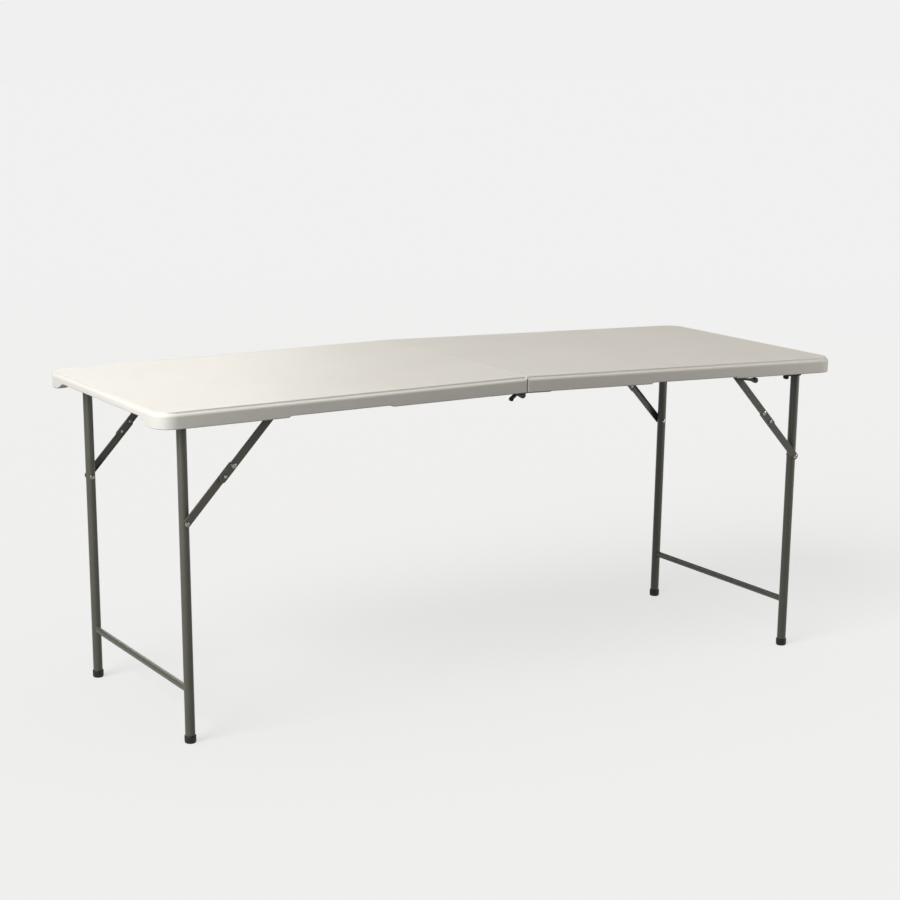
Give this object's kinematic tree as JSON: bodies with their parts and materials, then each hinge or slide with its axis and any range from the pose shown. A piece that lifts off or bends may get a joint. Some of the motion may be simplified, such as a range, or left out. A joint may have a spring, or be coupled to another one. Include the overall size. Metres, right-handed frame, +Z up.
{
  "type": "folding table",
  "caption": "Rectangular folding table with a moulded top hinged across the middle, and a tube leg frame with hinged braces under each end.",
  "frame": {"origin": "middle of the underside of the bounding box, on the floor under the middle of the tabletop", "axes": "+X along the table, the longest side; +Y to the rear, across the table; +Z up"},
  "size_m": [1.7998, 0.68, 0.7569],
  "materials": {
    "moulding": "off-white blow-moulded plastic with a fine grained upper face",
    "frame_paint": "olive-gray powder coat, satin",
    "zinc": "dull zinc plate",
    "black_steel": "black paint",
    "black_plastic": "black moulded plastic",
    "black_rubber": "black rubber"
  },
  "bodies": {
    "half_left": {"top_panel_left": "moulding", "side_rail_left_front": "frame_paint", "hinge_leaf_left_front": "frame_paint", "brace_pivot_left_front": "frame_paint", "side_rail_left_rear": "frame_paint", "hinge_leaf_left_rear": "frame_paint", "brace_pivot_left_rear": "frame_paint", "fold_lock_guide_left": "black_steel", "closing_latch_bracket_left": "black_steel", "closing_buffer_left": "black_rubber", "hinge_pin_front": "black_steel", "hinge_pin_rear": "black_steel"},
    "leg_frame_left": {"leg_cross_tube_left": "frame_paint", "leg_crossbar_left": "frame_paint", "leg_left_front": "frame_paint", "foot_cap_left_front": "black_plastic", "leg_pin_left_front": "zinc", "leg_left_rear": "frame_paint", "foot_cap_left_rear": "black_plastic", "leg_pin_left_rear": "zinc"},
    "upper_link_left_front": {"brace_upper_link_left_front": "frame_paint", "elbow_rivet_left_front": "zinc"},
    "lower_link_left_front": {"brace_lower_link_left_front": "frame_paint"},
    "button_left_front": {"lock_button_left_front": "zinc"},
    "upper_link_left_rear": {"brace_upper_link_left_rear": "frame_paint", "elbow_rivet_left_rear": "zinc"},
    "lower_link_left_rear": {"brace_lower_link_left_rear": "frame_paint"},
    "button_left_rear": {"lock_button_left_rear": "zinc"},
    "lock_bolt_left": {"fold_lock_bolt_left": "black_plastic"},
    "latch_left": {"closing_latch_left": "black_plastic"},
    "half_right": {"top_panel_right": "moulding", "side_rail_right_front": "frame_paint", "hinge_leaf_right_front": "frame_paint", "brace_pivot_right_front": "frame_paint", "side_rail_right_rear": "frame_paint", "hinge_leaf_right_rear": "frame_paint", "brace_pivot_right_rear": "frame_paint", "fold_lock_guide_right": "black_steel", "closing_latch_bracket_right": "black_steel", "closing_buffer_right": "black_rubber"},
    "leg_frame_right": {"leg_cross_tube_right": "frame_paint", "leg_crossbar_right": "frame_paint", "leg_right_front": "frame_paint", "foot_cap_right_front": "black_plastic", "leg_pin_right_front": "zinc", "leg_right_rear": "frame_paint", "foot_cap_right_rear": "black_plastic", "leg_pin_right_rear": "zinc"},
    "upper_link_right_front": {"brace_upper_link_right_front": "frame_paint", "elbow_rivet_right_front": "zinc"},
    "lower_link_right_front": {"brace_lower_link_right_front": "frame_paint"},
    "button_right_front": {"lock_button_right_front": "zinc"},
    "upper_link_right_rear": {"brace_upper_link_right_rear": "frame_paint", "elbow_rivet_right_rear": "zinc"},
    "lower_link_right_rear": {"brace_lower_link_right_rear": "frame_paint"},
    "button_right_rear": {"lock_button_right_rear": "zinc"},
    "lock_bolt_right": {"fold_lock_bolt_right": "black_plastic"},
    "latch_right": {"closing_latch_right": "black_plastic"}
  },
  "joints": [
    {"name": "table_fold", "type": "hinge", "parent": "half_left", "child": "half_right", "pos_m": [0, 0, 0.71092], "axis": [0, 1, 0], "range_deg": [0, 95]},
    {"name": "leg_fold_left", "type": "hinge", "parent": "half_left", "child": "leg_frame_left", "pos_m": [-0.82417, 0, 0.71425], "axis": [0, -1, 0], "range_deg": [0, 90]},
    {"name": "upper_link_turn_left_front", "type": "hinge", "parent": "half_left", "child": "upper_link_left_front", "pos_m": [-0.6162, -0.2979, 0.7177], "axis": [0, 1, 0], "range_deg": [0, 47.1]},
    {"name": "lower_link_turn_left_front", "type": "hinge", "parent": "leg_frame_left", "child": "lower_link_left_front", "pos_m": [-0.82047, -0.2924, 0.49129], "axis": [0, -1, 0], "range_deg": [0, 43.1]},
    {"name": "button_press_left_front", "type": "slide", "parent": "upper_link_left_front", "child": "button_left_front", "axis": [0, 1, 0], "range_m": [0, 0.0025], "stiffness_N_per_m": 1500},
    {"name": "upper_link_turn_left_rear", "type": "hinge", "parent": "half_left", "child": "upper_link_left_rear", "pos_m": [-0.6162, 0.2979, 0.7177], "axis": [0, 1, 0], "range_deg": [0, 47.1]},
    {"name": "lower_link_turn_left_rear", "type": "hinge", "parent": "leg_frame_left", "child": "lower_link_left_rear", "pos_m": [-0.82047, 0.2924, 0.49129], "axis": [0, -1, 0], "range_deg": [0, 43.1]},
    {"name": "button_press_left_rear", "type": "slide", "parent": "upper_link_left_rear", "child": "button_left_rear", "axis": [0, -1, 0], "range_m": [0, 0.0025], "stiffness_N_per_m": 1500},
    {"name": "bolt_slide_left", "type": "slide", "parent": "half_left", "child": "lock_bolt_left", "axis": [0.9999, 0, 0.0166], "range_m": [0, 0.01]},
    {"name": "latch_swing_left", "type": "hinge", "parent": "half_left", "child": "latch_left", "pos_m": [-0.62199, 0.324, 0.7052], "axis": [0, -1, 0], "range_deg": [0, 80]},
    {"name": "leg_fold_right", "type": "hinge", "parent": "half_right", "child": "leg_frame_right", "pos_m": [0.82417, 0, 0.71425], "axis": [0, 1, 0], "range_deg": [0, 90]},
    {"name": "upper_link_turn_right_front", "type": "hinge", "parent": "half_right", "child": "upper_link_right_front", "pos_m": [0.6162, -0.2979, 0.7177], "axis": [0, -1, 0], "range_deg": [0, 47.1]},
    {"name": "lower_link_turn_right_front", "type": "hinge", "parent": "leg_frame_right", "child": "lower_link_right_front", "pos_m": [0.82047, -0.2924, 0.49129], "axis": [0, 1, 0], "range_deg": [0, 43.1]},
    {"name": "button_press_right_front", "type": "slide", "parent": "upper_link_right_front", "child": "button_right_front", "axis": [0, 1, 0], "range_m": [0, 0.0025], "stiffness_N_per_m": 1500},
    {"name": "upper_link_turn_right_rear", "type": "hinge", "parent": "half_right", "child": "upper_link_right_rear", "pos_m": [0.6162, 0.2979, 0.7177], "axis": [0, -1, 0], "range_deg": [0, 47.1]},
    {"name": "lower_link_turn_right_rear", "type": "hinge", "parent": "leg_frame_right", "child": "lower_link_right_rear", "pos_m": [0.82047, 0.2924, 0.49129], "axis": [0, 1, 0], "range_deg": [0, 43.1]},
    {"name": "button_press_right_rear", "type": "slide", "parent": "upper_link_right_rear", "child": "button_right_rear", "axis": [0, -1, 0], "range_m": [0, 0.0025], "stiffness_N_per_m": 1500},
    {"name": "bolt_slide_right", "type": "slide", "parent": "half_right", "child": "lock_bolt_right", "axis": [-0.9999, 0, 0.0166], "range_m": [0, 0.01]},
    {"name": "latch_swing_right", "type": "hinge", "parent": "half_right", "child": "latch_right", "pos_m": [0.62199, -0.324, 0.7052], "axis": [0, 1, 0], "range_deg": [0, 80]}
  ],
  "couplings": [
    {"joint": "upper_link_turn_left_front", "follows": "leg_fold_left", "ratio": 0.52215},
    {"joint": "lower_link_turn_left_front", "follows": "leg_fold_left", "ratio": 0.47785},
    {"joint": "upper_link_turn_left_rear", "follows": "leg_fold_left", "ratio": 0.52215},
    {"joint": "lower_link_turn_left_rear", "follows": "leg_fold_left", "ratio": 0.47785},
    {"joint": "upper_link_turn_right_front", "follows": "leg_fold_right", "ratio": 0.52215},
    {"joint": "lower_link_turn_right_front", "follows": "leg_fold_right", "ratio": 0.47785},
    {"joint": "upper_link_turn_right_rear", "follows": "leg_fold_right", "ratio": 0.52215},
    {"joint": "lower_link_turn_right_rear", "follows": "leg_fold_right", "ratio": 0.47785}
  ]
}
